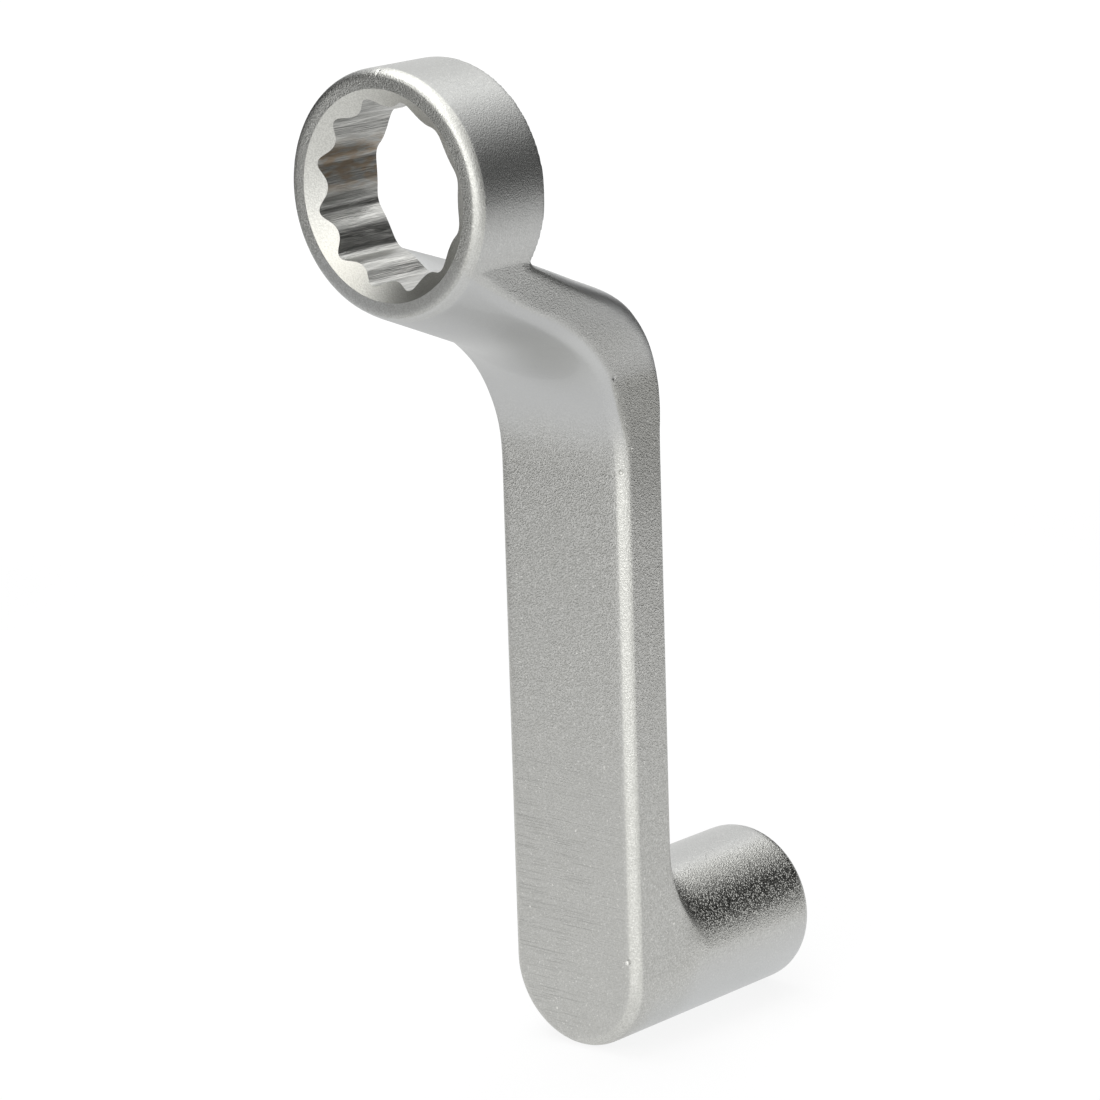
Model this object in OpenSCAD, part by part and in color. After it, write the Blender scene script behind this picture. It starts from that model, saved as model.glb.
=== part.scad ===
// Camber adjustment wrench.
// The real wrench is one steel forging. It is drawn here as its four regions, which meet face to face:
// a 12-point box ring, a cranked neck, a flat bar with a round toe, and a square drive boss.
// Sizes are in millimetres. The origin is the centre of the drive's mouth. +Y points out of the mouth,
// +Z runs up the bar, and the plane x = 0 divides the wrench into two like halves.

/* [Drive boss] */
// Outside diameter of the drive boss
boss_d = 25; // [22:0.5:30]
// Length from the bar's front face to the drive end
boss_len = 43; // [34:0.5:60]
// Rounding of the rim at the drive end
boss_rim_r = 2.2; // [0.5:0.1:3]
// Radius of the blend between the boss and the back of the bar
boss_blend_r = 9.5; // [4:0.5:12]
// Across flats of the square drive socket
drive_af = 12.8; // [9.6:0.1:13]
// Depth of the square part of the socket
drive_depth = 17; // [13:0.5:20]
// How much each corner of the square is cut short
drive_corner_cut = 0.65; // [0.3:0.05:1.2]
// How far the lead-in cone reaches past the corners of the square
drive_lead = 0.4; // [0.1:0.1:0.8]
// How far the drilled pilot hole runs on behind the square
pilot_run = 2.5; // [1:0.5:5]
// Distance from the mouth to the detent recesses
detent_pos = 8; // [6:0.5:10]
// Diameter of each detent recess
detent_d = 5; // [3:0.5:6]
// Depth of each detent recess below the flat
detent_depth = 1.2; // [0.5:0.1:2]

/* [Bar] */
// Width of the bar, which is also the diameter of its round toe
bar_w = 25; // [20:0.5:30]
// Thickness of the bar
bar_t = 9; // [7:0.5:12]
// Rounding of the bar's front edges
bar_edge_r = 2.3; // [0.5:0.1:3]
// Rounding of the bar's back edges
bar_back_r = 0.5; // [0.2:0.1:1.5]

/* [Ring] */
// Size across flats of the nut that the ring takes
ring_af = 24; // [19:0.5:30]
// Wall of the ring outside the corners of the 12 points
ring_wall = 4.15; // [3:0.05:6]
// Height of the ring along its axis
ring_h = 14.5; // [11:0.5:20]
// Rounding of the ring's front rim
ring_rim_r = 1.1; // [0.5:0.1:1.5]
// Rounding of the ring's back rim
ring_back_r = 0.4; // [0.2:0.1:1]
// How far the lead-in chamfer runs out past the corners
lead_in = 1.35; // [0.5:0.05:1.8]
// Angle between the lead-in chamfer and the ring's face
lead_in_angle = 36; // [30:1:45]

/* [Neck] */
// Height of the ring's centre above the drive axis
reach = 124; // [100:1:150]
// How far the ring's front face stands ahead of the bar's front face
ring_lead = 36; // [30:1:46]
// Slope of the neck's back above the horizontal
neck_angle = 21; // [15:1:26]
// How far the neck's back reaches up the ring's back face, from the ring's lowest point
root_h = 7.4; // [5:0.2:9]
// Slope of the neck's lower side edges above the horizontal
web_angle = 37; // [32:1:42]
// Angle round the ring, from its lowest point, at which each side of the neck meets it
crease_angle = 59; // [45:1:65]
// Height over which the neck widens from the bar to the ring
flare_h = 22.5; // [15:0.5:30]
// Radius of the bend in front
inner_bend_r = 25.5; // [15:0.5:30]
// Radius of the bend at the back
outer_bend_r = 21.5; // [12:0.5:26]
// Rounding of the neck's lower side edges where they reach the ring
neck_edge_r = 3.4; // [1:0.1:4]
// Rounding of the neck's back edges
neck_back_r = 1.3; // [0.3:0.1:2]
// Softness of the hollow between the neck's flat front and its rounded keel
keel_blend = 1.5; // [0.5:0.1:2.5]
// Clearance of the cut behind the ring, outside the lead-in chamfer
relief_clear = 0.3; // [0.1:0.1:1]

/* [Hidden] */
steel = [0.70, 0.70, 0.68];
$fn = 96;

// Planes and centres
bar_front_y = -boss_len;
bar_back_y = bar_front_y + bar_t;
ring_front_y = bar_front_y - ring_lead;
ring_back_y = ring_front_y + ring_h;
boss_r = boss_d / 2;
bar_half = bar_w / 2;

// Radii in the ring
corner_r = ring_af / 2 / cos(30);
ring_r = corner_r + ring_wall;
lead_r = corner_r + lead_in;

// Where the neck's sides meet the ring
crease_x = ring_r * sin(crease_angle);
crease_z = reach - ring_r * cos(crease_angle);
flare_z = crease_z - flare_h;
flare_rate = (crease_x - bar_half) / flare_h;

// Side view of the neck, in front: a bend that starts on the bar's front face, then a straight edge up to
// the front end of the crease
web_end = [ring_front_y + 2 * ring_rim_r, crease_z];
joint_z = web_end[1] + (web_end[0] - bar_front_y) * tan(web_angle)
    + inner_bend_r * (1 - sin(web_angle)) * tan(web_angle) - inner_bend_r * cos(web_angle);
front_bend_len = inner_bend_r * (90 - web_angle) * PI / 180;
front_bend_end = [bar_front_y - inner_bend_r * (1 - sin(web_angle)), joint_z + inner_bend_r * cos(web_angle)];
front_len = front_bend_len + norm(web_end - front_bend_end);

// Side view of the neck, at the back: a straight stretch, a bend, then a straight edge to the ring's back
root = [ring_back_y, reach - ring_r + root_h];
back_corner_z = root[1] - (bar_back_y - root[0]) * tan(neck_angle);
back_bend_z = back_corner_z - outer_bend_r * tan((90 - neck_angle) / 2);
back_run = back_bend_z - joint_z;
back_bend_len = outer_bend_r * (90 - neck_angle) * PI / 180;
back_bend_end = [bar_back_y - outer_bend_r * (1 - sin(neck_angle)), back_bend_z + outer_bend_r * cos(neck_angle)];
back_len = back_run + back_bend_len + norm(root - back_bend_end);

// Small working sizes of the drawing itself
over = 1;
stations = 30;
arc_steps = 6;
front_steps = 12;
// Height at which the blend's side faces start, just above where they would only graze the boss
blend_floor = 2;
// Angles in the 12-point profile, from the middle of a flat to the ends of one flank
flank_from = 17.5;
flank_to = 28;

function mix(a, b, t) = a + (b - a) * t;

// A point of the neck's front edge in side view, at a distance u from the bar
function front_at(u) = let (a = u / inner_bend_r * 180 / PI)
    u < front_bend_len
        ? [bar_front_y - inner_bend_r * (1 - cos(a)), joint_z + inner_bend_r * sin(a)]
        : front_bend_end + (u - front_bend_len) * [-cos(web_angle), sin(web_angle)];

// A point of the neck's back edge in side view, at a distance u from the bar
function back_at(u) = let (a = (u - back_run) / outer_bend_r * 180 / PI)
    u < back_run ? [bar_back_y, joint_z + u]
    : u < back_run + back_bend_len
        ? [bar_back_y - outer_bend_r * (1 - cos(a)), back_bend_z + outer_bend_r * sin(a)]
        : back_bend_end + (u - back_run - back_bend_len) * [-cos(neck_angle), sin(neck_angle)];

// Half the width of the neck at a height z
function half_width(z) = bar_half + flare_rate * max(0, min(z, crease_z) - flare_z);

// Depth and inset of the points of one side of a section, with round corners at the front and the back
function side_steps(depth, r_front, r_back) = concat(
    [for (k = [0:arc_steps]) let (a = 90 * k / arc_steps) [r_front * (1 - cos(a)), r_front * (1 - sin(a))]],
    [for (k = [0:arc_steps]) let (a = 90 * k / arc_steps)
        [depth - r_back * (1 - sin(a)), r_back * (1 - cos(a))]]);

// How far along a section, at a distance x from the middle, the rounded keel's surface lies. The keel is the
// ring's own circle, carried down along the neck.
function keel_step(front, along, x) =
    max((ring_front_y - front[0]) / along[0],
        (reach - (front[0] - ring_front_y - ring_rim_r) * tan(neck_angle) - sqrt(ring_r * ring_r - x * x)
            - front[1]) / (along[1] + along[0] * tan(neck_angle)));

// The lesser of two values, with a rounded change from one to the other
function soft_min(a, b) = min(a, b) - pow(max(keel_blend - abs(a - b), 0), 2) / (4 * keel_blend);

// One section of the neck, between a front point and a back point in side view
function neck_section(front, back, r_front, r_back) =
    let (depth = norm(back - front), along = (back - front) / depth, w = half_width(front[1]),
        steps = concat(
            [for (k = [0:front_steps - 1]) [0, w - (w - r_front) * sin(90 * k / front_steps)]],
            side_steps(depth, r_front, r_back)),
        half = [for (s = steps)
            let (step = s[0] > r_front ? s[0] : soft_min(s[0], keel_step(front, along, w - s[1])),
                p = front + step * along)
                [min(w, half_width(p[1])) - s[1], p[0], p[1]]])
    concat(half, [for (k = [len(half) - 1:-1:1]) [-half[k][0], half[k][1], half[k][2]]]);

// Triangles that close one end of a loft, where n is the odd number of points in a section. They all start
// from the last point of the first half, which is never in line with two others.
function cap(n) = let (b = (n - 1) / 2) [for (j = [1:n - 2]) [b, (b + j + 1) % n, (b + j) % n]];

// A closed solid through a row of like sections
module loft(sections) {
    n = len(sections[0]);
    last = (len(sections) - 1) * n;
    polyhedron(
        points = [for (s = sections) for (p = s) p],
        faces = concat(
            cap(n),
            [for (i = [0:len(sections) - 2]) for (j = [0:n - 1])
                let (a = i * n + j, b = i * n + (j + 1) % n) each [[a, b, b + n], [a, b + n, a + n]]],
            [for (f = cap(n)) [last + f[0], last + f[2], last + f[1]]]),
        convexity = 6);
}

// Turns a shape that stands on Z so that it lies on Y
module along_y() {
    rotate([-90, 0, 0]) children();
}

// The 12-point opening: two hexagons, with the lobes drilled off and the corners cut short
module twelve_points() {
    flat = ring_af / 2;
    polygon([for (k = [0:11]) for (s = [
            [0, flat / cos(flank_from)],
            [flank_from - 15, flat / cos(flank_from)],
            [flank_to - 15, flat / cos(flank_to)],
            [15, flat / cos(flank_to)],
            [45 - flank_to, flat / cos(flank_to)],
            [45 - flank_from, flat / cos(flank_from)]])
        let (a = 30 * k + s[0]) s[1] * [sin(a), cos(a)]]);
}

module ring_head() {
    lobe_r = ring_af / 2 / cos(flank_from);
    lead_depth = (lead_r - lobe_r) * tan(lead_in_angle);
    color(steel)
    difference() {
        translate([0, 0, reach]) along_y() rotate_extrude() polygon(concat(
            [[lobe_r - over, ring_front_y + lead_depth], [lobe_r, ring_front_y + lead_depth],
                [lead_r, ring_front_y]],
            [for (k = [0:arc_steps]) let (a = 90 * k / arc_steps)
                [ring_r - ring_rim_r * (1 - sin(a)), ring_front_y + ring_rim_r * (1 - cos(a))]],
            [for (k = [0:arc_steps]) let (a = 90 * k / arc_steps)
                [ring_r - ring_back_r * (1 - cos(a)), ring_back_y - ring_back_r * (1 - sin(a))]],
            [[lead_r, ring_back_y], [lobe_r, ring_back_y - lead_depth],
                [lobe_r - over, ring_back_y - lead_depth]]));
        translate([0, ring_front_y - over, reach]) along_y()
            linear_extrude(height = ring_h + 2 * over) twelve_points();
    }
}

// The ring's own space in the neck: its outside, with its rounded back rim
module ring_space() {
    translate([0, 0, reach]) along_y() rotate_extrude() polygon(concat(
        [[0, ring_front_y - over], [ring_r, ring_front_y - over]],
        [for (k = [0:arc_steps]) let (a = 90 * k / arc_steps)
            [ring_r - ring_back_r * (1 - cos(a)), ring_back_y - ring_back_r * (1 - sin(a))]],
        [[0, ring_back_y]]));
}

module cranked_neck() {
    color(steel)
    difference() {
        loft(concat(
            [for (i = [0:stations]) let (t = i / stations)
                neck_section(front_at(t * front_len), back_at(t * back_len),
                    mix(bar_edge_r, neck_edge_r, t), mix(bar_back_r, neck_back_r, min(1, 2 * t)))],
            [neck_section(web_end + [over, 3 * over], root + [-over, 3 * over], neck_edge_r, neck_back_r)]));
        ring_space();
        // The cut that lets a bolt head out behind the ring
        translate([0, ring_back_y - over, reach]) along_y()
            cylinder(r = lead_r + relief_clear, h = ring_lead + bar_t);
    }
}

// Half of the bar's cross-section, from its middle to its side
function bar_half_section() = concat(
    [[0, bar_front_y]],
    [for (s = side_steps(bar_t, bar_edge_r, bar_back_r)) [bar_half - s[1], bar_front_y + s[0]]],
    [[0, bar_back_y]]);

module handle_bar() {
    color(steel)
    union() {
        linear_extrude(height = joint_z) union() {
            polygon(bar_half_section());
            mirror([1, 0]) polygon(bar_half_section());
        }
        along_y() rotate_extrude(angle = 180) polygon(bar_half_section());
    }
}

module drive_socket() {
    half = drive_af / 2;
    pilot_r = half - 0.2;
    corner = half * sqrt(2) - drive_corner_cut;
    intersection() {
        translate([-half, -drive_depth, -half]) cube([drive_af, drive_depth + over, drive_af]);
        translate([0, -drive_depth - over, 0]) along_y() cylinder(r = corner, h = drive_depth + 3 * over);
    }
    // Drilled pilot, with its drill point
    translate([0, -drive_depth - pilot_run, 0]) along_y() cylinder(r = pilot_r, h = pilot_run + over);
    translate([0, -drive_depth - pilot_run - pilot_r / 2, 0]) along_y()
        cylinder(r1 = 0.2, r2 = pilot_r, h = pilot_r / 2);
    // Lead-in at the mouth
    translate([0, half - corner - drive_lead, 0]) along_y()
        cylinder(r1 = half, r2 = corner + drive_lead + over, h = corner + drive_lead - half + over);
    // Detent recesses, one in each flat
    for (turn = [0:90:270])
        translate([0, -detent_pos, 0]) rotate([0, turn, 0])
            translate([0, 0, half - over]) cylinder(d = detent_d, h = detent_depth + over);
}

module drive_boss() {
    blend_r = boss_r + boss_blend_r;
    blend_y = bar_back_y + boss_blend_r;
    color(steel)
    difference() {
        union() {
            along_y() rotate_extrude() polygon(concat(
                [[0, bar_back_y], [boss_r, bar_back_y]],
                [for (k = [0:arc_steps]) let (a = 90 * k / arc_steps)
                    [boss_r - boss_rim_r * (1 - cos(a)), -boss_rim_r * (1 - sin(a))]],
                [[0, 0]]));
            // The blend into the bar's back, as wide as the bar
            intersection() {
                along_y() rotate_extrude() polygon(concat(
                    [[boss_r / 2, bar_back_y]],
                    [for (k = [0:2 * arc_steps]) let (a = 90 * k / (2 * arc_steps))
                        [blend_r - boss_blend_r * sin(a), blend_y - boss_blend_r * cos(a)]],
                    [[boss_r / 2, blend_y]]));
                translate([-bar_half, bar_back_y - over, blend_floor])
                    cube([bar_w, boss_blend_r + 2 * over, blend_r]);
            }
        }
        drive_socket();
    }
}

ring_head();
cranked_neck();
handle_bar();
drive_boss();
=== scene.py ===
# %% [markdown]
# Camber adjustment wrench
#
# This lesson builds the looks of a small steel wrench round its CAD model. The real wrench is one
# forging: a ring with 12 points, a neck that steps it forward, a flat bar, and a boss with a square
# drive socket. The metal runs through all of it without a seam, so the outside is made here as one
# skin. The two machined openings are pieces of their own, since they have another finish and meet
# the skin at crisp edges.

# %% Load the frame
from math import atan2, cos, hypot, pi, radians, sin, sqrt, tan
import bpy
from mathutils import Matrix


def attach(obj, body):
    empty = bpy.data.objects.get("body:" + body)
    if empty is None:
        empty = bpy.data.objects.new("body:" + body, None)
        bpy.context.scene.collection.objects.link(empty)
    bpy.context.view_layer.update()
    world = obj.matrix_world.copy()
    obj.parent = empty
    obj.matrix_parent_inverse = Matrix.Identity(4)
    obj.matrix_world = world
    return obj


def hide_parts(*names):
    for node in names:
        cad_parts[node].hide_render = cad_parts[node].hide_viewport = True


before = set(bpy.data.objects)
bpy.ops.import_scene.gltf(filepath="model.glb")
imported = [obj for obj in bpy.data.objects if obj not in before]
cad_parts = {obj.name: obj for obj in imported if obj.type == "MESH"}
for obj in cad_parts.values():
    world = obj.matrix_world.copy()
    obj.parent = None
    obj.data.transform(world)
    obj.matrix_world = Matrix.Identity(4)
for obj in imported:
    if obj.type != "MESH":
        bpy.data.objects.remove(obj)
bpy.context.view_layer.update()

from types import SimpleNamespace

import bmesh
import bpy
from mathutils import Matrix, Vector

print("CAD nodes:", sorted(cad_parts))

# %% [markdown]
# Sizes
#
# Every size is in metres, as in the CAD model. The origin is the centre of the drive's mouth. +Y
# points out of the mouth, +Z runs up the bar, and the ring faces -Y. The sizes that several steps
# share are named once here, so the skin keeps to the CAD model. The last lines say how round the
# edges are. A profile below 0.5 makes a rounding flatter than a circle, as worn dies do.

# %% Sizes
MM = 0.001
BAR_FRONT, BAR_BACK, BAR_HALF = -43 * MM, -34 * MM, 12.5 * MM
BOSS_R, BLEND_R = 12.5 * MM, 9.5 * MM
RING_R, RING_Z = 18.006 * MM, 124 * MM
RING_FRONT, RING_BACK = -79 * MM, -64.5 * MM
BORE_R, MOUTH_R = 15.2 * MM, 8.8 * MM
JOINT_Z = 76.5 * MM

FRONT_EDGE, BACK_EDGE = 1.75 * MM, 0.5 * MM
BOSS_RIM, RING_RIM, RING_BACK_RIM = 2.2 * MM, 1.0 * MM, 0.4 * MM
RING_RIM_STRETCH = 1.6
EDGE_PROFILE, RIM_PROFILE = 0.37, 0.45
print("ring", round(2 * RING_R / MM, 1), "mm across, neck starts at z =", round(JOINT_Z / MM, 1), "mm")

# %% [markdown]
# Simple shapes
#
# Blender's operators act on whatever is selected, and loading the frame leaves the CAD nodes
# selected. So the first helper selects one object alone. The others add a block, a round bar or a
# cone. Each time the place and the turn go into the mesh, so that every piece keeps its origin at
# the wrench's own.

# %% Simple shapes
def only(piece):
    """Selects one object alone."""
    bpy.ops.object.select_all(action="DESELECT")
    piece.select_set(True)
    bpy.context.view_layer.objects.active = piece


def place(name):
    """Names the new primitive and moves its place and turn into its mesh."""
    piece = bpy.context.object
    only(piece)
    bpy.ops.object.transform_apply(location=True, rotation=True, scale=True)
    piece.name = piece.data.name = name
    return piece


def block(name, low, high):
    middle = [(a + b) / 2 for a, b in zip(low, high)]
    size = [b - a for a, b in zip(low, high)]
    bpy.ops.mesh.primitive_cube_add(size=1, location=middle, scale=size)
    return place(name)


def round_bar(name, radius, y_from, y_to, z=0.0, sides=192):
    """A cylinder that lies on Y."""
    middle = (0, (y_from + y_to) / 2, z)
    bpy.ops.mesh.primitive_cylinder_add(vertices=sides, radius=radius, depth=y_to - y_from,
                                        location=middle, rotation=(pi / 2, 0, 0))
    return place(name)


def cone(name, wide, wide_y, narrow, narrow_y, z=0.0, sides=128):
    """A cone that lies on Y, given by the radius and the y of its wide end and of its narrow one."""
    middle = (0, (wide_y + narrow_y) / 2, z)
    turn = pi / 2 if narrow_y < wide_y else -pi / 2
    bpy.ops.mesh.primitive_cone_add(vertices=sides, radius1=wide, radius2=narrow,
                                    depth=abs(narrow_y - wide_y), location=middle,
                                    rotation=(turn, 0, 0))
    return place(name)


print("shapes: block, round_bar, cone")

# %% [markdown]
# Cuts and edges
#
# One helper picks faces, edges or points in edit mode by a test on their place, and the next ones
# round the picked edges or slice a piece at a plane. Another cuts one piece with a second one and
# throws that one away. Cuts leave a few points almost on top of each other, so one more helper
# merges those. The last one shades a piece smooth.

# %% Cuts and edges
MERGE = 0.004 * MM


def near(value, target, slack=0.05 * MM):
    return abs(value - target) < slack


def pick(piece, kind, test):
    """Selects the points, edges or faces of a piece that pass a test, and stays in edit mode."""
    only(piece)
    bpy.ops.object.mode_set(mode="EDIT")
    bpy.ops.mesh.select_mode(type=kind)
    bpy.ops.mesh.select_all(action="DESELECT")
    mesh = bmesh.from_edit_mesh(piece.data)
    parts = {"VERT": mesh.verts, "EDGE": mesh.edges, "FACE": mesh.faces}[kind]
    chosen = [part for part in parts if test(part)]
    for part in chosen:
        part.select_set(True)
    bmesh.update_edit_mesh(piece.data)
    return len(chosen)


def pick_all(piece, kind):
    return pick(piece, kind, lambda part: True)


def round_edges(piece, test, width, steps, profile=0.5):
    """Rounds the edges whose two ends both pass a test on their place."""
    count = pick(piece, "EDGE", lambda edge: all(test(end.co) for end in edge.verts))
    bpy.ops.mesh.bevel(offset=width, segments=steps, profile=profile, affect="EDGES")
    bpy.ops.object.mode_set(mode="OBJECT")
    print(piece.name, "rounded", count, "edges by", round(width / MM, 2), "mm")


def slice_off(piece, point, normal):
    """Cuts a piece at a plane, throws away the side the normal points to, and closes the cut."""
    pick_all(piece, "FACE")
    bpy.ops.mesh.bisect(plane_co=point, plane_no=normal, use_fill=True, clear_outer=True)
    bpy.ops.object.mode_set(mode="OBJECT")


def carve(piece, tool, how="DIFFERENCE"):
    only(piece)
    cut = piece.modifiers.new("cut", "BOOLEAN")
    cut.operation, cut.solver, cut.object = how, "MANIFOLD", tool
    bpy.ops.object.modifier_apply(modifier=cut.name)
    bpy.data.objects.remove(tool)


def clean(piece):
    """Merges points that a cut left almost on one spot, and drops the slivers between them."""
    pick_all(piece, "VERT")
    bpy.ops.mesh.remove_doubles(threshold=MERGE)
    bpy.ops.mesh.dissolve_degenerate(threshold=MERGE)
    bpy.ops.object.mode_set(mode="OBJECT")


def shade_smooth(piece, degrees):
    """Shades a piece smooth, apart from edges that are sharper than an angle."""
    only(piece)
    bpy.ops.object.shade_smooth_by_angle(angle=radians(degrees))
    print(piece.name + ":", len(piece.data.polygons), "faces")


print("points closer than", MERGE / MM, "mm are merged")

# %% [markdown]
# The flat bar
#
# The bar is a plain flat with soft front edges and nearly sharp back ones. On the real wrench the
# dies leave the front edges round, and the back is where the two dies met. A block and a short
# round bar make it, and each gets its roundings while it is still simple. The block reaches a
# little way up into the neck, so that the two overlap.

# %% The flat bar
INTO_NECK = 3 * MM
bar = block("bar", (-BAR_HALF, BAR_FRONT, 0), (BAR_HALF, BAR_BACK, JOINT_Z + INTO_NECK))
toe = round_bar("toe", BAR_HALF, BAR_FRONT, BAR_BACK)


def on_side_edge(spot, y):
    return near(spot.y, y) and near(abs(spot.x), BAR_HALF)


round_edges(bar, lambda spot: on_side_edge(spot, BAR_FRONT), FRONT_EDGE, 8, EDGE_PROFILE)
round_edges(bar, lambda spot: on_side_edge(spot, BAR_BACK), BACK_EDGE, 3)
round_edges(toe, lambda spot: near(spot.y, BAR_FRONT), FRONT_EDGE, 8, EDGE_PROFILE)
round_edges(toe, lambda spot: near(spot.y, BAR_BACK), BACK_EDGE, 3)

# %% [markdown]
# The drive boss and its blend
#
# The boss is a round bar with a rounded rim. Where it grows out of the bar's back there is a wide
# hollow blend, as wide as the bar and only on the upper side. A disc with a torus cut out of its
# rim is exactly such a hollow, and three cuts trim it to the bar. Both the boss and its blend start
# inside the bar.

# %% The drive boss and its blend
BOSS_START, BLEND_START = BAR_BACK - 4 * MM, BAR_BACK - 1 * MM
boss = round_bar("boss", BOSS_R, BOSS_START, 0)
round_edges(boss, lambda spot: near(spot.y, 0), BOSS_RIM, 8)
blend = round_bar("boss blend", BOSS_R + BLEND_R, BLEND_START, BAR_BACK + BLEND_R)
bpy.ops.mesh.primitive_torus_add(major_radius=BOSS_R + BLEND_R, minor_radius=BLEND_R,
                                 major_segments=192, minor_segments=96,
                                 location=(0, BAR_BACK + BLEND_R, 0), rotation=(pi / 2, 0, 0))
carve(blend, place("blend cutter"))
for side in (-1, 1):
    slice_off(blend, (side * BAR_HALF, 0, 0), (side, 0, 0))
slice_off(blend, (0, 0, 0), (0, 0, -1))
print("blend has", len(blend.data.polygons), "faces")

# %% [markdown]
# The ring
#
# The ring's outside is a short round bar. Its front rim is rounded and then stretched along the
# ring's axis, so the rounding reaches further down the side than across the face. The back rim is
# nearly sharp. The ring stays solid until the skin is done, because an opening that is cut last
# keeps its crisp edge.

# %% The ring
ring = round_bar("ring", RING_R, RING_FRONT, RING_BACK, RING_Z, 256)
round_edges(ring, lambda spot: near(spot.y, RING_FRONT), RING_RIM, 8, RIM_PROFILE)
pick(ring, "VERT", lambda point: point.co.y < RING_FRONT + RING_RIM + 0.1 * MM)
bpy.ops.transform.resize(value=(1, RING_RIM_STRETCH, 1), center_override=(0, RING_FRONT, 0))
bpy.ops.object.mode_set(mode="OBJECT")
round_edges(ring, lambda spot: near(spot.y, RING_BACK), RING_BACK_RIM, 3)

# %% [markdown]
# The neck's line
#
# Seen from the side, the neck leaves the bar in a bend and runs up to the ring. It is thickest in
# the bend and widens towards the ring, so it isn't a bent bar but a loft, whose cross-section
# changes on the way. Each row below steers one place on the way, in millimetres: a point in front,
# a point at the back and half the width. A B-spline runs close to such points without touching them
# all, and it has no kinks, so highlights on it stay smooth.

# %% The neck's line
NECK_LINE = [
    (-43.00, 70.76, -34.00, 70.48, 12.50), (-43.00, 76.49, -34.00, 76.56, 12.50),
    (-43.00, 82.54, -34.00, 82.54, 12.50), (-44.83, 88.34, -33.80, 88.61, 12.84),
    (-47.74, 93.80, -35.15, 94.55, 13.20), (-52.09, 98.48, -38.20, 99.65, 14.12),
    (-56.83, 101.92, -42.26, 104.21, 14.56), (-62.07, 104.82, -47.57, 107.11, 14.84),
    (-67.58, 107.32, -53.23, 109.18, 14.95), (-72.60, 110.48, -58.77, 111.52, 15.11),
    (-77.37, 113.96, -64.42, 113.60, 15.34), (-82.05, 117.59, -69.98, 115.90, 15.64)]


def neck_line(part):
    """Front y and z, back y and z, and half the width, from 0 at the bar to 1 at the ring."""
    spans = len(NECK_LINE) - 3
    first = min(int(part * spans), spans - 1)
    f = part * spans - first
    pull = ((1 - f) ** 3, 3 * f ** 3 - 6 * f ** 2 + 4, -3 * f ** 3 + 3 * f ** 2 + 3 * f + 1, f ** 3)
    rows = NECK_LINE[first:first + 4]
    return [sum(p * row[i] for p, row in zip(pull, rows)) / 6 * MM for i in range(5)]


for name, part in (("bar", 0), ("ring", 1)):
    print("neck at the", name, "end:", [round(v / MM, 1) for v in neck_line(part)])

# %% [markdown]
# The neck's roundings
#
# The front edges lose some of their rounding on the way up. The back ones gain some, most of all in
# the upper half, where the neck lies back under the ring. Every rounding changes evenly over a
# share of the way, so no step shows.

# %% The neck's roundings
def share(value, start, end):
    """0 up to start, 1 from end on, and even in between."""
    return min(1, max(0, (value - start) / (end - start)))


def neck_roundings(part):
    front = FRONT_EDGE - 0.7 * MM * share(part, 0, 1 / 1.3)
    swell = share(part, 0.4, 0.7) * share(part, 1.1, 0.85)
    back = BACK_EDGE + 0.9 * MM * share(part, 0, 0.5) + 0.8 * MM * swell
    return front, back


for part in (0, 0.5, 1):
    print("roundings at", part, "of the way:", [round(r / MM, 2) for r in neck_roundings(part)])

# %% [markdown]
# The neck's cross-section
#
# A cross-section is a flat with round corners. Its points are numbered in columns: across half the
# front, round the front edge, round the back edge and on to the middle of the back. In the bend the
# sections lie askew and are deeper than the steel is thick, so their corners are drawn out with
# them.
#
# The front is crowned as it comes near the ring, because the ring's own round runs on down under
# the neck like a keel. The crown is the ring's circle, and it fades out where the keel's bottom
# line meets the neck's front. Past its last row the neck runs straight on for a bit, into the solid
# ring.

# %% The neck's cross-section
FRONT_END, EDGE_END, BACK_EDGE_END, MIDDLE = 40, 60, 81, 100
CORNER_POWER = 1.43
THICK_AT_BAR, THINNER_AT_RING = 9, 1.7
KEEL_SLOPE, KEEL_START, KEEL_FADE = tan(radians(21.2)), 1.1 * MM, 6 * MM


def soft_max(a, b, reach):
    return max(a, b) + max(reach - abs(a - b), 0) ** 2 / (4 * reach)


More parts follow.
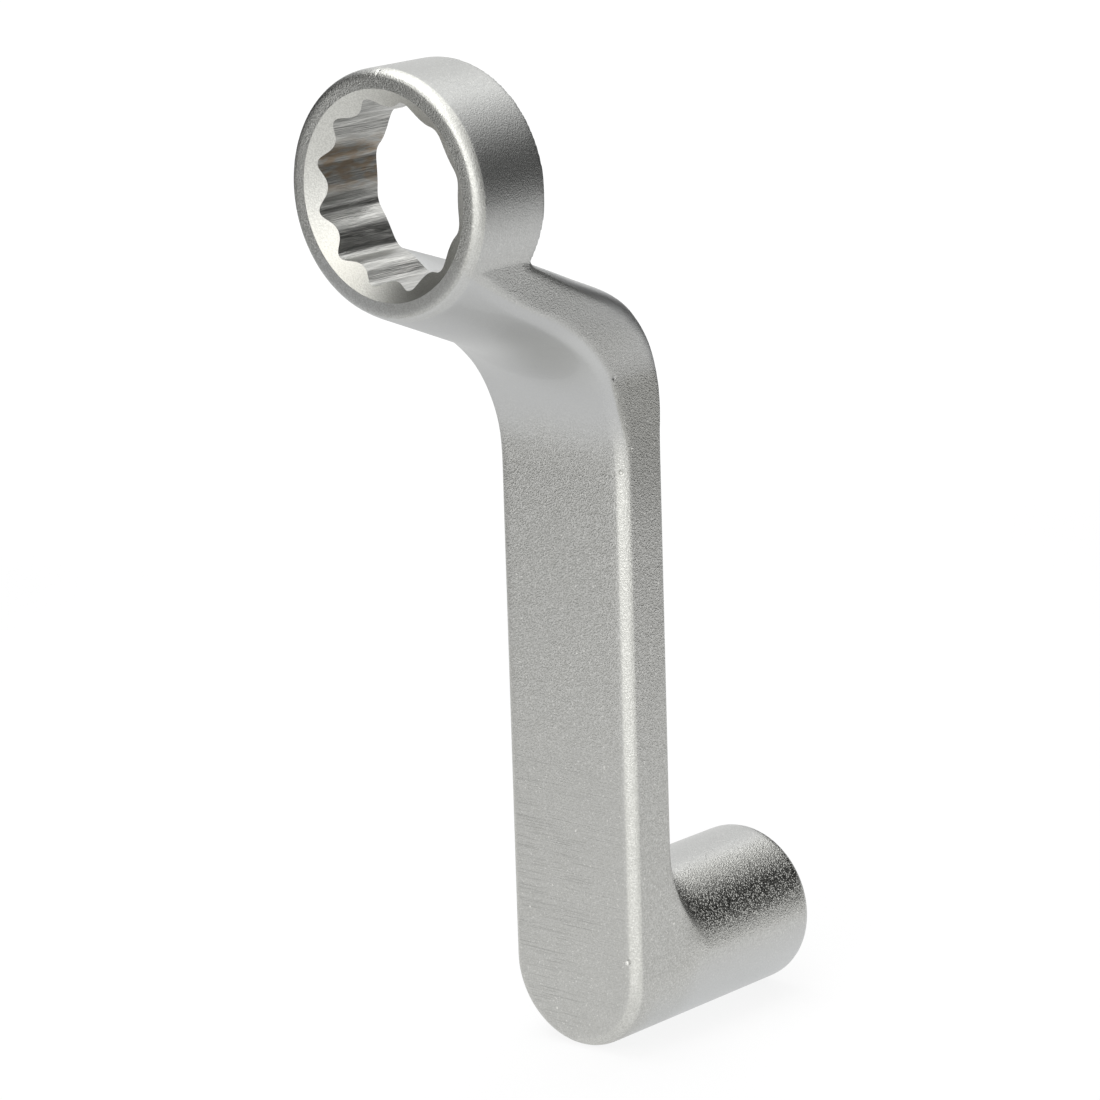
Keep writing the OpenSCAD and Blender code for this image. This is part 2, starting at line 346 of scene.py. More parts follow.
def cross_section(part, column):
    """A point of the neck: part counts up from the bar, and column from the middle of the front."""
    front_y, front_z, back_y, back_z, wide = neck_line(min(part, 1))
    if part > 1:
        front_y, front_z = front_y + 1 * MM, front_z + 3 * MM
        back_y, back_z = back_y - 1 * MM, back_z + 3 * MM
    depth = hypot(back_y - front_y, back_z - front_z)
    round_front, round_back = neck_roundings(part)
    skew = depth / (THICK_AT_BAR - THINNER_AT_RING * min(part, 1)) / MM
    if column <= FRONT_END:
        step, inset = 0, wide - (wide - round_front) * sin(pi / 2 * column / FRONT_END)
    elif column <= EDGE_END:
        turn = pi / 2 * (column - FRONT_END) / (EDGE_END - FRONT_END)
        step = (0.25 + 0.75 * skew) * round_front * (1 - cos(turn) ** CORNER_POWER)
        inset = round_front * (1 - sin(turn) ** CORNER_POWER)
    elif column <= BACK_EDGE_END:
        turn = pi / 2 * (column - EDGE_END - 1) / (BACK_EDGE_END - EDGE_END - 1)
        step, inset = depth - skew * round_back * (1 - sin(turn)), round_back * (1 - cos(turn))
    else:
        past_edge = (column - BACK_EDGE_END) / (MIDDLE - BACK_EDGE_END)
        step, inset = depth, round_back + (wide - round_back) * past_edge
    x = wide - inset
    y, z = [a + (b - a) * step / depth for a, b in ((front_y, back_y), (front_z, back_z))]
    if column <= EDGE_END:
        keel_z = RING_Z - RING_R - (front_y - RING_FRONT - KEEL_START) * KEEL_SLOPE
        circle_edge = sqrt(RING_R ** 2 - wide ** 2)
        crown = soft_max(front_z - keel_z, 0, KEEL_FADE) / (RING_R - circle_edge)
        z -= crown * (sqrt(RING_R ** 2 - x ** 2) - circle_edge)
    return x, y, z


print("front middle at the ring:", [round(v / MM, 1) for v in cross_section(1, 0)], "mm")

# %% [markdown]
# Loft the neck
#
# A fine grid becomes the neck: its columns run round the section and its rows run from the bar to
# the ring. Each point moves to its place, the seam in the middle of the front is merged, and both
# ends are filled.

# %% Loft the neck
AROUND, ALONG = 2 * MIDDLE, 120
bpy.ops.mesh.primitive_grid_add(x_subdivisions=AROUND, y_subdivisions=ALONG, size=1)
neck = place("neck")
for point in neck.data.vertices:
    column = round(AROUND * (point.co.x + 0.5))
    part = (point.co.y + 0.5) * (ALONG + 1) / ALONG
    x, y, z = cross_section(part, min(column, AROUND - column))
    point.co = (x if column < MIDDLE else -x, y, z)
pick_all(neck, "VERT")
bpy.ops.mesh.remove_doubles(threshold=0.001 * MM)
bpy.ops.mesh.select_all(action="DESELECT")
bpy.ops.mesh.select_mode(type="EDGE")
bpy.ops.mesh.select_non_manifold()
bpy.ops.mesh.fill_holes(sides=0)
bpy.ops.mesh.select_all(action="SELECT")
bpy.ops.mesh.normals_make_consistent(inside=False)
bpy.ops.object.mode_set(mode="OBJECT")
print("neck:", len(neck.data.polygons), "faces")

# %% [markdown]
# One skin
#
# The pieces are joined and the voxel remesh draws one closed skin round them all. A few rounds of
# smoothing then give every inner corner the small cast radius that the real forging has, and take
# the voxels' steps away. A finer voxel would cost more faces than the eye can see.

# %% One skin
VOXEL = 0.45 * MM
only(bar)
for piece in (toe, boss, blend, ring, neck):
    piece.select_set(True)
bpy.ops.object.join()
skin = place("wrench_forging")
remesh = skin.modifiers.new("skin", "REMESH")
remesh.mode, remesh.voxel_size, remesh.adaptivity = "VOXEL", VOXEL, 0
bpy.ops.object.modifier_apply(modifier=remesh.name)
smooth = skin.modifiers.new("soften", "SMOOTH")
smooth.factor, smooth.iterations = 0.5, 5
bpy.ops.object.modifier_apply(modifier=smooth.name)
print("skin:", len(skin.data.polygons), "faces")

# %% [markdown]
# Cut the openings
#
# The ring is bored through, and behind it a slightly wider cut goes on into the neck so that a bolt
# can pass. The boss gets a plain hole, which the drive socket fills later. Each cutter reaches past
# the face that it opens, because two faces in one plane would leave the cut unclear.

# %% Cut the openings
PAST, HOLE_DEPTH = 5 * MM, 23 * MM
RELIEF_R, RELIEF_END = BORE_R + 0.3 * MM, RING_BACK + 25 * MM
carve(skin, round_bar("bore cutter", BORE_R, RING_FRONT - PAST, RING_BACK + 1 * MM, RING_Z, 256))
carve(skin, round_bar("relief cutter", RELIEF_R, RING_BACK, RELIEF_END, RING_Z, 256))
carve(skin, round_bar("socket cutter", MOUTH_R, -HOLE_DEPTH, PAST, 0, 128))
print("skin:", len(skin.data.polygons), "faces after the cuts")

# %% [markdown]
# Knocks from use
#
# Three small dents in the edges and one nick in the ring's front rim are left from use. Each is a
# tiny ball or rod that is sunk into the skin, and the skin itself tells where its surface is and
# which way it faces.

# %% Knocks from use
DENTS = [((10.8, -43.0, 3.2), 0.55), ((11.9, -42.9, 78.7), 0.5), ((13.2, -45.4, 93.6), 0.5)]
NICK, NICK_R = (-0.4, -79, 142), 0.22


def above_skin(spot, height):
    """The place so many millimetres above the skin, where the skin is nearest to the spot."""
    _, nearest, normal, _ = skin.closest_point_on_mesh(Vector(spot) * MM)
    return nearest + normal * height * MM


for dent, radius in DENTS:
    bpy.ops.mesh.primitive_ico_sphere_add(subdivisions=3, radius=radius * MM,
                                          location=above_skin(dent, 0.6 * radius))
    carve(skin, place("dent cutter"))
bpy.ops.mesh.primitive_cylinder_add(vertices=24, radius=NICK_R * MM, depth=4 * MM,
                                    location=above_skin(NICK, 0.08), rotation=(-pi / 4, 0, 0))
carve(skin, place("nick cutter"))
shade_smooth(skin, 65)

# %% [markdown]
# The 12-point bore
#
# A broach cuts the 12 points: two hexagons, turned 30 degrees against each other. Seen along the
# bore, the distance from the axis to the wall is a simple function of the angle. In the photo the
# waves have steeper flanks than two plain hexagons give, blunt points and rounded ridges. So the
# waves are first made deeper about their middle, and then cut off softly at a nearest and a
# farthest wall. A many-sided round bar takes that shape point by point and is used as the broach.

# %% The 12-point bore
OVERLAP = 0.04 * MM
HALF_FLATS, WAVE_MIDDLE, WAVE_GAIN = 12 * MM, 13.1 * MM, 1.5
NEAREST_WALL, FARTHEST_WALL, WAVE_SOFT = 12.4 * MM, 13.75 * MM, 0.4 * MM


def broach_radius(angle):
    point_angle = radians(30)
    from_flat = abs((angle / point_angle + 0.5) % 2 - 1) * point_angle
    wall = HALF_FLATS / cos(max(from_flat, point_angle - from_flat))
    wall = WAVE_MIDDLE + WAVE_GAIN * (wall - WAVE_MIDDLE)
    wall = soft_max(wall, NEAREST_WALL, WAVE_SOFT)
    return -soft_max(-wall, -FARTHEST_WALL, WAVE_SOFT)


bore = round_bar("ring_bore", BORE_R + 2 * OVERLAP, RING_FRONT, RING_BACK, RING_Z, 256)
broach = round_bar("broach", 13 * MM, RING_FRONT - PAST, RING_BACK + PAST, RING_Z, 480)
for point in broach.data.vertices:
    across, up = point.co.x, point.co.z - RING_Z
    grow = broach_radius(atan2(across, up)) / hypot(across, up)
    point.co.x, point.co.z = across * grow, RING_Z + up * grow
carve(bore, broach)
print("bore:", len(bore.data.polygons), "faces before the lead-in")

# %% [markdown]
# The lead-in
#
# A cone at each end of the bore leads the bolt's head in. Its rate says how far the radius grows
# for each millimetre outwards, and each cone starts a little outside the ring's face.

# %% The lead-in
LEAD_RATE, LEAD_DEPTH, LEAD_PAST = 1 / tan(radians(36)), 3 * MM, 1 * MM
for face_y, inward in ((RING_FRONT, 1), (RING_BACK, -1)):
    face_r = BORE_R + OVERLAP
    carve(bore, cone("lead-in cutter", face_r + LEAD_PAST * LEAD_RATE, face_y - inward * LEAD_PAST,
                     face_r - LEAD_DEPTH * LEAD_RATE, face_y + inward * LEAD_DEPTH, RING_Z, 256))
clean(bore)
shade_smooth(bore, 22)

# %% [markdown]
# The square drive socket
#
# The drive end is hidden in the photo, so it is built as such wrenches have it: a cone leads a
# half-inch square in, the square's corners are rounded off, a round hollow in each flat catches the
# drive's ball, and the drill that went in first leaves its own cone at the bottom.

# %% The square drive socket
SQUARE_HALF, SQUARE_CORNER, SQUARE_DEPTH = 6.4 * MM, 8.4 * MM, 17 * MM
PILOT_R, PILOT_DEPTH, POINT_DEPTH = 6.2 * MM, 19.5 * MM, 22.59 * MM
DETENT_R, DETENT_AT, DETENT_OUT = 2.5 * MM, -8 * MM, 6.6 * MM
CONE_PAST, CONE_DEPTH = 1.04 * MM, 2.36 * MM

socket = round_bar("drive_socket", MOUTH_R + OVERLAP, -HOLE_DEPTH - 0.5 * MM, 0, 0, 128)
square = block("square cutter", (-SQUARE_HALF, -SQUARE_DEPTH, -SQUARE_HALF),
               (SQUARE_HALF, PAST, SQUARE_HALF))
corners = round_bar("corner trim", SQUARE_CORNER, -SQUARE_DEPTH - 1 * MM, PAST + 1 * MM, 0, 128)
carve(square, corners, "INTERSECT")
round_edges(square, lambda spot: near(spot.y, -SQUARE_DEPTH), 0.3 * MM, 2)
carve(socket, square)
carve(socket, round_bar("pilot drill", PILOT_R, -PILOT_DEPTH, -10 * MM, 0, 96))
carve(socket, cone("drill point", PILOT_R, -PILOT_DEPTH + 0.01 * MM, 0.1 * MM, -POINT_DEPTH, 0, 96))
carve(socket, cone("mouth cone", SQUARE_HALF + CONE_PAST + CONE_DEPTH, CONE_PAST,
                   SQUARE_HALF, -CONE_DEPTH))
for quarter in range(4):
    direction = Vector((0, 0, 1))
    direction.rotate(Matrix.Rotation(quarter * pi / 2, 3, "Y"))
    bpy.ops.mesh.primitive_cylinder_add(vertices=64, radius=DETENT_R, depth=2 * MM,
                                        location=Vector((0, DETENT_AT, 0)) + direction * DETENT_OUT,
                                        rotation=direction.to_track_quat("Z", "Y").to_euler())
    carve(socket, place("detent cutter"))
clean(socket)
shade_smooth(socket, 30)

# %% [markdown]
# A small language for finishes
#
# A metal's look is a little arithmetic on patterns. The class below wraps one output of a node, so
# that plus, minus and times on it add the Math nodes by themselves. A number may stand on either
# side.

# %% A small language for finishes
class Signal:
    def __init__(self, finish, socket):
        self.finish, self.socket = finish, socket

    def math(self, operation, a, b):
        return self.finish.node("ShaderNodeMath", {"operation": operation}, {0: a, 1: b})

    def __add__(self, other): return self.math("ADD", self, other)
    def __radd__(self, other): return self.math("ADD", other, self)
    def __sub__(self, other): return self.math("SUBTRACT", self, other)
    def __rsub__(self, other): return self.math("SUBTRACT", other, self)
    def __mul__(self, other): return self.math("MULTIPLY", self, other)
    def __rmul__(self, other): return self.math("MULTIPLY", other, self)
    def __truediv__(self, other): return self.math("DIVIDE", self, other)
    def __rtruediv__(self, other): return self.math("DIVIDE", other, self)
    def __pow__(self, other): return self.math("POWER", self, other)
    def __neg__(self): return self.math("MULTIPLY", self, -1)
    def __abs__(self): return self.finish.node("ShaderNodeMath", {"operation": "ABSOLUTE"}, {0: self})


def srgb(red, green, blue):
    """A colour as a screen shows it, 0 to 255, in the linear numbers that a shader wants."""
    return tuple(c / 255 / 12.92 if c / 255 < 0.04045 else ((c / 255 + 0.055) / 1.055) ** 2.4
                 for c in (red, green, blue)) + (1,)


print("mid grey in linear numbers:", [round(c, 3) for c in srgb(128, 128, 128)[:3]])

# %% [markdown]
# The nodes of one finish
#
# The other class holds one material's nodes. Its first method adds any node from its type, its
# settings and the values of its sockets. The rest are short names for the few nodes that metals
# need. All patterns lie in object coordinates, so they stay with the metal.

# %% The nodes of one finish
class Finish:
    def __init__(self, name, world=None):
        """A new material, or the world that is given."""
        self.material = world or bpy.data.materials.new(name)
        self.material.use_nodes = True
        self.tree = self.material.node_tree
        self.tree.nodes.clear()

    def node(self, kind, settings=None, sockets=None, output=0):
        node = self.tree.nodes.new(kind)
        for name, value in (settings or {}).items():
            setattr(node, name, value)
        for name, value in (sockets or {}).items():
            if isinstance(value, Signal):
                self.tree.links.new(value.socket, node.inputs[name])
            else:
                node.inputs[name].default_value = value
        return None if output is None else Signal(self, node.outputs[output])

    def place(self, stretch=(1, 1, 1), turn=(0, 0, 0)):
        """Object coordinates in millimetres, stretched and turned."""
        where = self.node("ShaderNodeTexCoord", output="Object")
        scale = tuple(s / MM for s in stretch)
        return self.node("ShaderNodeMapping", {}, {"Vector": where, "Rotation": turn, "Scale": scale})

    def axes(self):
        """X, Y and Z of the object coordinates, in millimetres."""
        where = self.place()
        return [self.node("ShaderNodeSeparateXYZ", {}, {0: where}, output=i) for i in range(3)]

    def noise(self, where, size, detail=1.0, rough=0.5):
        """Cloudy noise from 0 to 1 whose spots are about size millimetres across."""
        return self.node("ShaderNodeTexNoise", {}, {
            "Vector": where, "Scale": 1 / size, "Detail": detail, "Roughness": rough})

    def grit(self, size):
        """The distance to the nearest of many scattered points, in steps of size millimetres."""
        return self.node("ShaderNodeTexVoronoi", {}, {"Vector": self.place(), "Scale": 1 / size})

    def ramp(self, value, low, high):
        """0 below low, 1 above high, smooth in between."""
        return self.node("ShaderNodeMapRange", {"interpolation_type": "SMOOTHSTEP"},
                         {"Value": value, "From Min": low, "From Max": high})

    def blend(self, part, first, second):
        """A colour between two colours."""
        sockets = {0: part, 6: first, 7: second}
        return self.node("ShaderNodeMix", {"data_type": "RGBA"}, sockets, output=2)

    def layers(self, colour, coats):
        """Puts coats on a colour, one after the other. Each is a pair: how much, and which colour."""
        for amount, coat in coats:
            colour = self.blend(amount, colour, coat)
        return colour

    def bump(self, height, distance):
        sockets = {"Height": height, "Distance": distance, "Strength": 1.0}
        return self.node("ShaderNodeBump", {}, sockets)

    def metal(self, colour, roughness, normal):
        return self.show(self.node("ShaderNodeBsdfPrincipled", {}, {
            "Base Color": colour, "Roughness": roughness, "Metallic": 1.0, "Normal": normal}))

    def show(self, shader, output="ShaderNodeOutputMaterial"):
        """Makes a shader what is seen, and hands the finished material back."""
        self.node(output, {}, {"Surface": shader}, output=None)
        self.count()
        return self.material

    def count(self):
        print(self.material.name + ":", len(self.tree.nodes), "nodes")


steel = Finish("blasted plated steel")
steel.count()

# %% [markdown]
# The forging's regions
#
# The forging is shot-blasted and plated, but it doesn't look the same all over. So the first step
# tells its regions apart. Each is 1 inside and 0 outside, with a soft border at a height or depth
# in millimetres. Large clouds make some borders wander, because no grinder stops on a straight
# line.

# %% The forging's regions
def forging_regions(f):
    x, y, z = f.axes()
    clouds = f.noise(f.place(), 9.0, 3.0, 0.6)
    wander = (clouds - 0.5) * 6
    half_width = 12.5 + 2.45 * f.ramp(z, 85, 108)
    boss = f.ramp(y, -33, -26)
    return SimpleNamespace(
        x=x, y=y, z=z, clouds=clouds, boss=boss,
        ring=f.ramp(z, 112, 118),
        rim=1 - f.ramp(y, -78.9, -78.6),
        side=f.ramp(abs(x) - half_width, -0.3, 0.0),
        upper_bar=f.ramp(z, 20, 70),
        neck=f.ramp(z + wander + 0.28 * (y + 38), 77, 88),
        neck_side=f.ramp(z + 0.3 * wander, 91, 94),
        belt=(1 - f.ramp(z + wander, 25, 50)) * (1 - f.ramp(y, -43.0, -42.6)),
        upper_boss=boss * f.ramp(z, -1, 5) * (1 - 0.8 * f.ramp(z, 9.5, 12)))


regions = forging_regions(steel)
steel.count()

# %% [markdown]
# The forging's fine patterns
#
# Blasting leaves a fine grain of tiny dimples. It is strong on the bar, faint on the neck's front,
# where the blank was smoother, and weak on the boss's top and underside. Near the foot a belt has left
# faint scratches that run nearly level across the front. The boss's upper side has coarser grit, and a
# sparse scatter of points marks where glints are painted later.

# %% The forging's fine patterns
def forging_patterns(f, at):
    on_side = 0.7 + 0.5 * (1 - at.neck_side)
    on_front = 1 - 0.9 * at.neck
    on_bar = at.side * on_side + (1 - at.side) * on_front
    amount = at.ring * (0.5 + 0.4 * at.rim) + (1 - at.ring) * on_bar
    boss_flank = f.ramp(at.z, -3, 3) * (1 - f.ramp(at.z, 10.8, 12.3))
    grain = f.noise(f.place(), 0.21)
    dimples = f.noise(f.place(turn=(0.4, 0.7, 0.2)), 0.31)
    return SimpleNamespace(
        grain=grain, dimples=dimples,
        amount=amount * (1 - 0.6 * at.boss * (1 - boss_flank)),
        speckle=f.ramp(grain * 0.6 + dimples * 0.4, 0.36, 0.64),
        scratch=f.noise(f.place((0.018, 1, 1), (0, radians(-5), 0)), 0.19, 2.0, 0.6),
        grit=f.grit(0.32), glint_spots=f.grit(3.6))


def forging_relief(f, at, fine):
    """The bumps that the grain, the scratches and the grit make."""
    pits = fine.grain * (0.7 + 0.3 * at.boss) + fine.dimples * (0.35 + 0.15 * at.boss)
    pits = pits * fine.amount * (1 + 0.7 * at.upper_bar - 0.5 * at.belt)
    pearls = (1 - f.ramp(fine.grit, 0.08, 0.42)) * at.upper_boss
    return f.bump(pits + fine.scratch * at.belt * 0.5 + 1.5 * pearls, 0.08 * MM)


patterns = forging_patterns(steel, regions)
relief = forging_relief(steel, regions, patterns)
steel.count()

# %% [markdown]
# Painted highlights on the forging's edges
#
# The bar's front edges, the right one most of all, and the right half of the ring's rim are painted
# paler, as a highlight from the lamps in front. The distance from the foot's centre and from the
# ring's axis tells where the edges are.

# %% Painted highlights on the forging's edges
def forging_edge_highlights(f, at):
    x, y, z = at.x, at.y, at.z
    ring_z = RING_Z / MM
    below_foot = z.math("MINIMUM", z, 0.0)
    from_foot = (x * x + below_foot * below_foot) ** 0.5
    from_ring = (x * x + (z - ring_z) * (z - ring_z)) ** 0.5
    # Painted highlight on the bar's front edges, strongest on the right one.
    bar = f.ramp(from_foot, 10.7, 11.2) * (1 - f.ramp(y, -41.7, -41.2))
    bar = bar * (0.4 + 0.6 * f.ramp(z, -10, 1)) * (1 - f.ramp(z, 74, 88))
    bar = bar * (0.25 + 0.75 * f.ramp(x, -2, 2))
    # Painted highlight on the right half of the ring's rim.
    rim = f.ramp(from_ring, 16.8, 17.1) * (1 - f.ramp(y, -77.5, -77.2)) * f.ramp(x, -4, 3)
    rim = rim * (0.25 + 0.75 * f.ramp(z, 112, 124))
    return bar, rim


painted_bar_highlight, painted_rim_highlight = forging_edge_highlights(steel, regions)
steel.count()

# %% [markdown]
# The forging's colours
#
# The colour is built like paint, from thin coats on a plain satin grey. First come the grain, the
# boss's grit with painted glints and a painted dark reflection on the boss, then scratches and painted
# shade on the bar's sides, then painted light and shade on the ring's top, the neck and the
# undersides, then the ring's rim, a darker grey with its own speckle, painted light and painted shade,
# and at last painted highlights on the edges and painted glints. The order matters, since a later coat
# lies over the earlier ones.

# %% The forging's colours
def forging_colour(f, at, fine, painted_edge_highlights):
    x, y, z = at.x, at.y, at.z
    contrast = 1 + 0.3 * at.upper_bar - 0.45 * at.belt
    grained = f.blend(0.5 + (fine.speckle - 0.5) * contrast, srgb(176, 176, 172), srgb(201, 201, 198))
    # Painted glints on the boss's grit: bright at each grit point and darker between the points.
    grit_and_glints = f.blend(f.ramp(fine.grit, 0.25, 0.6), srgb(222, 222, 217), srgb(162, 162, 157))
    # Painted dark reflection: a darker band on the boss's upper flank, from z 1 to 10 mm.
    painted_boss_reflection = at.upper_boss * f.ramp(z, 1, 7) * (1 - f.ramp(z, 6.5, 10))
    scored = f.ramp(fine.scratch, 0.55, 0.64) * at.belt * f.ramp(at.clouds - 0.02 * x, 0.40, 0.60)
    # The coat named scale is painted shade: it darkens the bar's sides from z 66 to 86 mm, less on the
    # neck's sides, and not on the ring.
    scale = at.side * f.ramp(z, 66, 86) * (1 - 0.6 * at.neck_side) * (1 - at.ring)
    # Painted light: the neck's front from z 90 to 104 mm and the neck's sides above z 101 mm are
    # paler.
    painted_light_front = 0.3 * (1 - at.side) * f.ramp(z, 90, 97) * (1 - f.ramp(z, 99, 104))
    painted_light_neck = (0.25 * at.side * f.ramp(z, 101, 107) + painted_light_front) * (1 - at.ring)
    # Painted light: the undersides of the boss and the foot are paler and a little blue, like a
    # reflection of the floor.
    painted_underside_light = f.ramp(-z, 1, 9) * f.ramp(y, -41, -36)
    # Painted light: the rim's face paler at its upper left.
    painted_light_rim = at.rim * f.ramp(-x, 0, 9) * f.ramp(z, 114, 126)
    # Paler speckled steel for the painted highlights on the edges.
    highlight_metal = f.blend(fine.speckle, srgb(199, 199, 194), srgb(219, 219, 214))
    # Painted glints: bright dots on the grain, and a few far-apart bright spots.
    painted_glints = f.ramp(fine.dimples, 0.66, 0.76) * fine.amount
    glint_spots = (1 - f.ramp(fine.glint_spots, 0.035, 0.065)) * (1 - at.ring) * fine.amount
    return f.layers(srgb(192, 193, 193), [
        (fine.amount, grained),
        (0.65 * at.upper_boss, grit_and_glints),
        (0.5 * painted_boss_reflection, srgb(110, 110, 105)),
        (0.4 * scored, srgb(150, 150, 147)),
        (0.55 * scale, srgb(150, 150, 145)),
        # Painted shade: the ring darker towards its top.
        (0.4 * f.ramp(z, 116, 128), srgb(162, 163, 160)),
        (painted_light_neck, srgb(214, 215, 213)),
        (0.45 * painted_underside_light, srgb(205, 208, 209)),
        # A darker grey on the rim's face, with painted shade that makes its right side darker still.
        (at.rim * (0.10 + 0.42 * f.ramp(x, -10, 6)), srgb(152, 152, 148)),
        (0.7 * painted_light_rim, srgb(210, 210, 206)),
        (0.5 * at.rim * (1 - fine.speckle), srgb(135, 135, 131)),
        (painted_edge_highlights, highlight_metal),
        (0.5 * painted_glints + 0.7 * glint_spots, srgb(238, 237, 232))])


colour = forging_colour(steel, regions, patterns, painted_bar_highlight + painted_rim_highlight)
steel.count()

# %% [markdown]
# Blasted and plated steel
#
# The parts of the finish come together here. Only the roughness is still missing. The boss, the ring
# and grained steel are a little smoother than plain steel, and the rim under its painted highlight is
# rougher.

# %% Blasted and plated steel
roughness = 0.50 - 0.10 * patterns.amount - 0.12 * regions.boss - 0.03 * regions.ring
roughness = roughness + 0.08 * painted_rim_highlight + 0.08 * (patterns.grain - 0.5) * patterns.amount
skin.data.materials.clear()
skin.data.materials.append(steel.metal(colour, roughness, relief))

# %% [markdown]
# Broached, turned and machined steel
#
# The broach leaves bright walls with fine streaks along the bore, and a warm stain on one side. The
# lead-in is turned and blasted, so it is pale and even, and it has painted shade that makes it darker
# at its lower right. The socket has streaks along its own axis. In the bore, the normal tells which
# face is which: the lead-in faces along the bore, and the walls don't.

# %% Broached, turned and machined steel
def broached_steel():
    f = Finish("broached steel")
    x, _, z = f.axes()
    streaks = f.noise(f.place((1, 0.03, 1)), 0.16, 2.0, 0.6)
    patches = f.noise(f.place((1, 0.3, 1)), 0.8)
    stain = (1 - f.ramp(abs(z - 126.8), 1.5, 5)) * f.ramp(-x, 8, 12)
    tone = f.blend(f.ramp(streaks, 0.42, 0.60), srgb(162, 162, 159), srgb(196, 196, 192))
    colour = f.blend(0.8 * stain * f.ramp(patches, 0.35, 0.6), tone, srgb(170, 152, 130))
    roughness = 0.26 + 0.14 * streaks + 0.18 * stain
    return f.metal(colour, roughness, f.bump(streaks * (0.4 + patches), 0.07 * MM))


def turned_steel():
    f = Finish("turned lead-in")
    x, _, z = f.axes()
    grain = f.noise(f.place(), 0.22)
    clouds = f.noise(f.place(), 3.0, 2.0)
    # Painted shade: the lead-in darker at its lower right.
    painted_lower_right_shade = (1 - f.ramp(z + clouds, 111, 116)) * f.ramp(x, -6, 2)
    tone = f.blend(f.ramp(grain, 0.35, 0.65), srgb(190, 190, 185), srgb(210, 210, 205))
    colour = f.layers(tone, [
        (0.3 * clouds, srgb(186, 185, 180)),
        (0.35 * (1 - f.ramp(z, 112, 124)) * f.ramp(-x, 0, 8), srgb(188, 184, 172)),
        (0.8 * painted_lower_right_shade, srgb(156, 156, 151))])
    return f.metal(colour, 0.38 + 0.08 * grain, f.bump(grain, 0.04 * MM))


def machined_steel():
    f = Finish("machined socket")
    streaks = f.noise(f.place((1, 0.06, 1)), 0.25, 3.0, 0.6)
    colour = f.blend(f.ramp(streaks, 0.35, 0.65), srgb(176, 176, 172), srgb(190, 190, 186))
    return f.metal(colour, 0.28 + 0.12 * streaks, f.bump(streaks, 0.08 * MM))


bore.data.materials.clear()
bore.data.materials.append(broached_steel())
bore.data.materials.append(turned_steel())
for face in bore.data.polygons:
    face.material_index = 1 if abs(face.normal.y) > 0.3 else 0
socket.data.materials.clear()
socket.data.materials.append(machined_steel())

# %% [markdown]
# Join the looks to the CAD
#
# Every piece rides on the wrench's only body. The three pieces together stand for all four CAD
# nodes, which are regions of the same forging, so none of the nodes shows through the skin.

# %% Join the looks to the CAD
for piece in (skin, bore, socket):
    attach(piece, "root")
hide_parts("cranked_neck", "handle_bar")
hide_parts("ring_head")
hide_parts("drive_boss")
print("on the body root:", skin.name, bore.name, socket.name)

# %% [markdown]
# The floor
#
# The floor is white paper. Close to the wrench it is partly real paper, which takes a soft shadow,
# and partly a plain glow, which keeps it white. Further off it only glows, so the shadows of the
# panels don't show and no horizon can be seen. The glow is seen by the camera, by mirrors and
# through glass, and lights nothing.

# %% The floor
FLOOR_Z = -12.5 * MM
GLOW_SHARE, GLOW = 0.8, 1.055


def seen_directly(finish):
    """1 for rays from the camera, a mirror or glass, and 0 for the soft light of the studio."""
    kinds = [finish.node("ShaderNodeLightPath", output=kind)
             for kind in ("Is Camera Ray", "Is Glossy Ray", "Is Transmission Ray")]
    return kinds[0] + kinds[1] + kinds[2]


bpy.ops.mesh.primitive_plane_add(size=8, location=(0, 0, FLOOR_Z))
floor = place("floor")
f = Finish("white paper")
fibres = f.noise(f.place(), 1.5, 3.0, 0.6)
paper = f.blend(fibres, (0.86, 0.86, 0.86, 1), (0.88, 0.88, 0.88, 1))
diffuse = f.node("ShaderNodeBsdfDiffuse", {}, {"Color": paper})
glow = f.node("ShaderNodeEmission", {}, {"Color": (1, 1, 1, 1), "Strength": GLOW})
x, y, _ = f.axes()
far_off = f.ramp((x * x + y * y) ** 0.5, 300, 450)
glowing = (GLOW_SHARE + (1 - GLOW_SHARE) * far_off) * seen_directly(f)
mixed = f.node("ShaderNodeMixShader", {}, {0: glowing, 1: diffuse, 2: glow})
floor.data.materials.append(f.show(mixed))

# %% [markdown]
# The panels
#
# A metal has almost no colour of its own and shows its surroundings. In an all-white studio the
# wrench would look flat. So three dark panels stand behind it and to the right, and a grey and a
# dark one to the left. Their reflections are the dark bands that give the round parts their form.
# The camera itself doesn't see them.

# %% The panels
PANELS = [
    ("dark panel at the back", (6, 95), (0.025, 0.51), 0.50, 0.045),
    ("low dark panel at the back", (-24, 6), (0.0, 0.27), 0.50, 0.04),
    ("lowest dark panel at the back", (-35, -24), (0.0, 0.12), 0.50, 0.04),
    ("low grey panel on the left", (203, 290), (0.0, 0.14), 0.45, 0.36),
    ("dark panel on the left", (212, 290), (0.14, 0.50), 0.45, 0.02)]


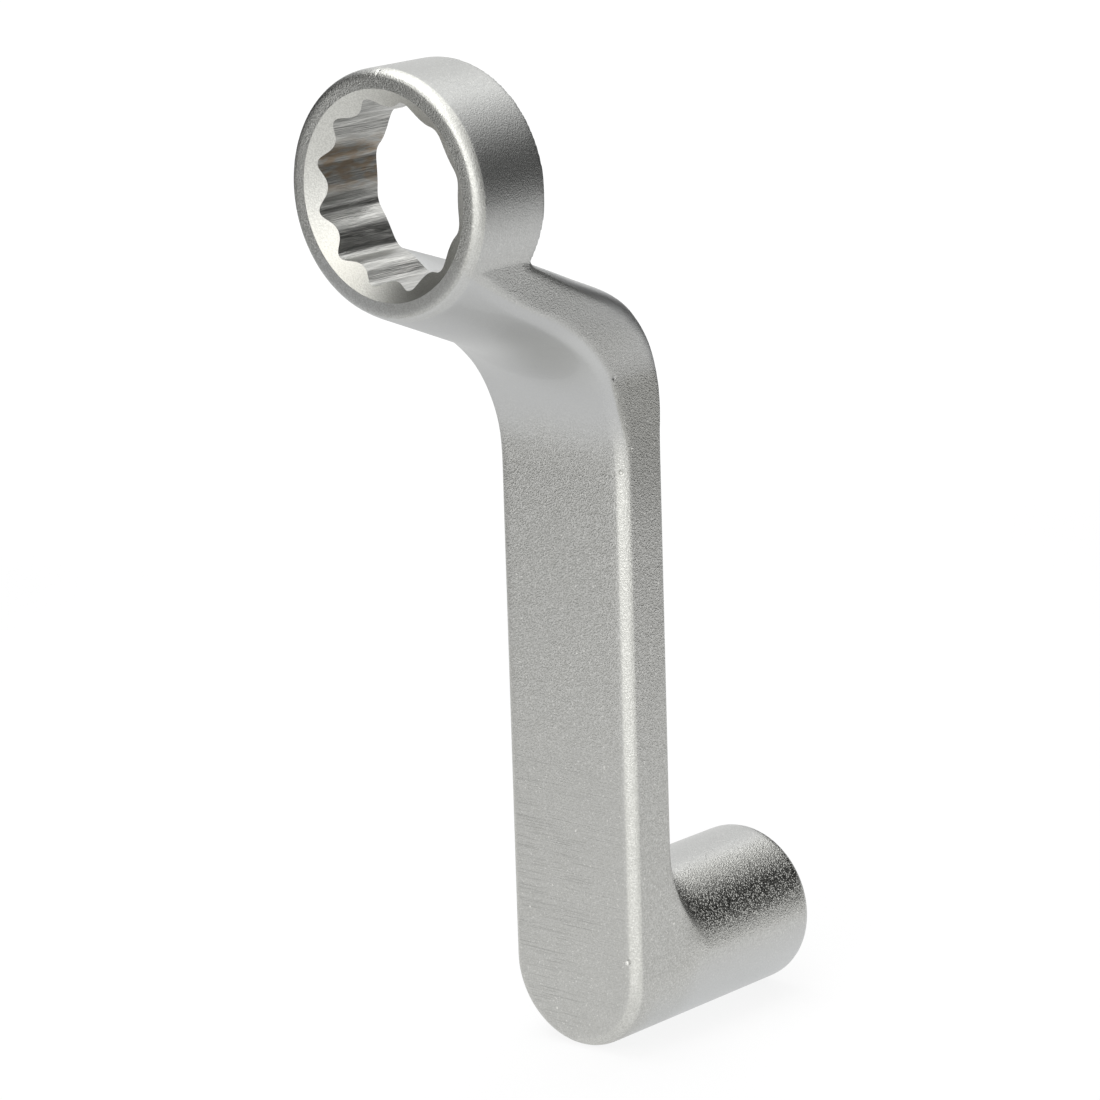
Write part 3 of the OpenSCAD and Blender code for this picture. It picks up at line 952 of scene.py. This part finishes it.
def panel(name, bearings, heights, distance, shade):
    """A curved panel. Bearings are degrees from +Y towards +X, and heights are above the floor."""
    bpy.ops.mesh.primitive_plane_add(size=1, rotation=(pi / 2, 0, 0))
    piece = place(name)
    pick_all(piece, "FACE")
    bpy.ops.mesh.subdivide(number_cuts=15)
    bpy.ops.object.mode_set(mode="OBJECT")
    for point in piece.data.vertices:
        bearing = radians(bearings[0] + (bearings[1] - bearings[0]) * (point.co.x + 0.5))
        height = heights[0] + (heights[1] - heights[0]) * (point.co.z + 0.5)
        point.co = (distance * sin(bearing), distance * cos(bearing), FLOOR_Z + height)
    felt = Finish(name + " felt")
    mottle = felt.noise(felt.place(), 20.0, 2.0)
    cloth = felt.blend(mottle, (shade,) * 3 + (1,), (shade * 1.2,) * 3 + (1,))
    piece.data.materials.append(felt.show(felt.node("ShaderNodeBsdfDiffuse", {}, {"Color": cloth})))
    piece.visible_camera = False


for row in PANELS:
    panel(*row)

# %% [markdown]
# The lamps and the world
#
# The world is white to the eye, a bit dimmer as a source of light, and still gives most of the
# light. Four wide lamps add to it: one overhead, two in front that brighten the rounded edges, and
# a weak one behind for the upper sides of the boss and of the neck's bend.

# %% The lamps and the world
AIM = Vector((0, -0.04, 0.06))
LAMPS = [
    ("overhead lamp", (-0.25, -0.1, 1.3), 1.2, 8),
    ("front lamp", (0.30, -1.10, 0.75), 1.2, 5),
    ("low front lamp", (0.75, -0.70, 0.04), 0.4, 1.2),
    ("back lamp", (-0.06, 0.80, 1.00), 0.45, 0.7)]
WORLD_LIGHT = 0.62

for name, where, size, power in LAMPS:
    bpy.ops.object.light_add(type="AREA", location=where)
    lamp = bpy.context.object
    lamp.name, lamp.data.shape, lamp.data.size, lamp.data.energy = name, "DISK", size, power
    lamp.rotation_euler = (AIM - Vector(where)).to_track_quat("-Z", "Y").to_euler()
    print(name + ":", size, "m across,", power, "W")

world = bpy.context.scene.world or bpy.data.worlds.new("studio")
bpy.context.scene.world = world
f = Finish("studio", world)
level = WORLD_LIGHT + (1 - WORLD_LIGHT) * seen_directly(f)
white = f.node("ShaderNodeBackground", {}, {"Color": (1, 1, 1, 1), "Strength": level})
f.show(white, "ShaderNodeOutputWorld")
bpy.context.scene.view_settings.view_transform = "Standard"

# %% [markdown]
# The camera
#
# The camera stands where the photographer stood. Its place and its focal length were worked out
# from the outlines of the bar, the boss and the ring in the photograph. It looks down a little and
# is turned by less than two degrees.

# %% The camera
AZIMUTH, ELEVATION, ROLL = radians(41.245), radians(13.794), radians(-1.739)
STANDPOINT = (0.45878, -0.56882, 0.23692)
FILM_MM, PHOTO_PX, FOCAL_PX = 36, 1100, 4836.57

look = Vector((-sin(AZIMUTH) * cos(ELEVATION), cos(AZIMUTH) * cos(ELEVATION), -sin(ELEVATION)))
right = look.cross(Vector((0, 0, 1))).normalized()
up = right.cross(look)
turned_right = right * cos(ROLL) + up * sin(ROLL)
turned_up = up * cos(ROLL) - right * sin(ROLL)
lens = bpy.data.cameras.new("camera")
lens.sensor_fit, lens.sensor_width = "AUTO", FILM_MM
lens.lens = FILM_MM * FOCAL_PX / PHOTO_PX
lens.clip_start, lens.clip_end = 0.01, 20
camera = bpy.data.objects.new("camera", lens)
bpy.context.scene.collection.objects.link(camera)
turn = Matrix((turned_right, turned_up, -look)).transposed().to_4x4()
camera.matrix_world = Matrix.Translation(STANDPOINT) @ turn
bpy.context.scene.camera = camera
print("lens:", round(lens.lens, 1), "mm, from", round(Vector(STANDPOINT).length, 2), "m away")
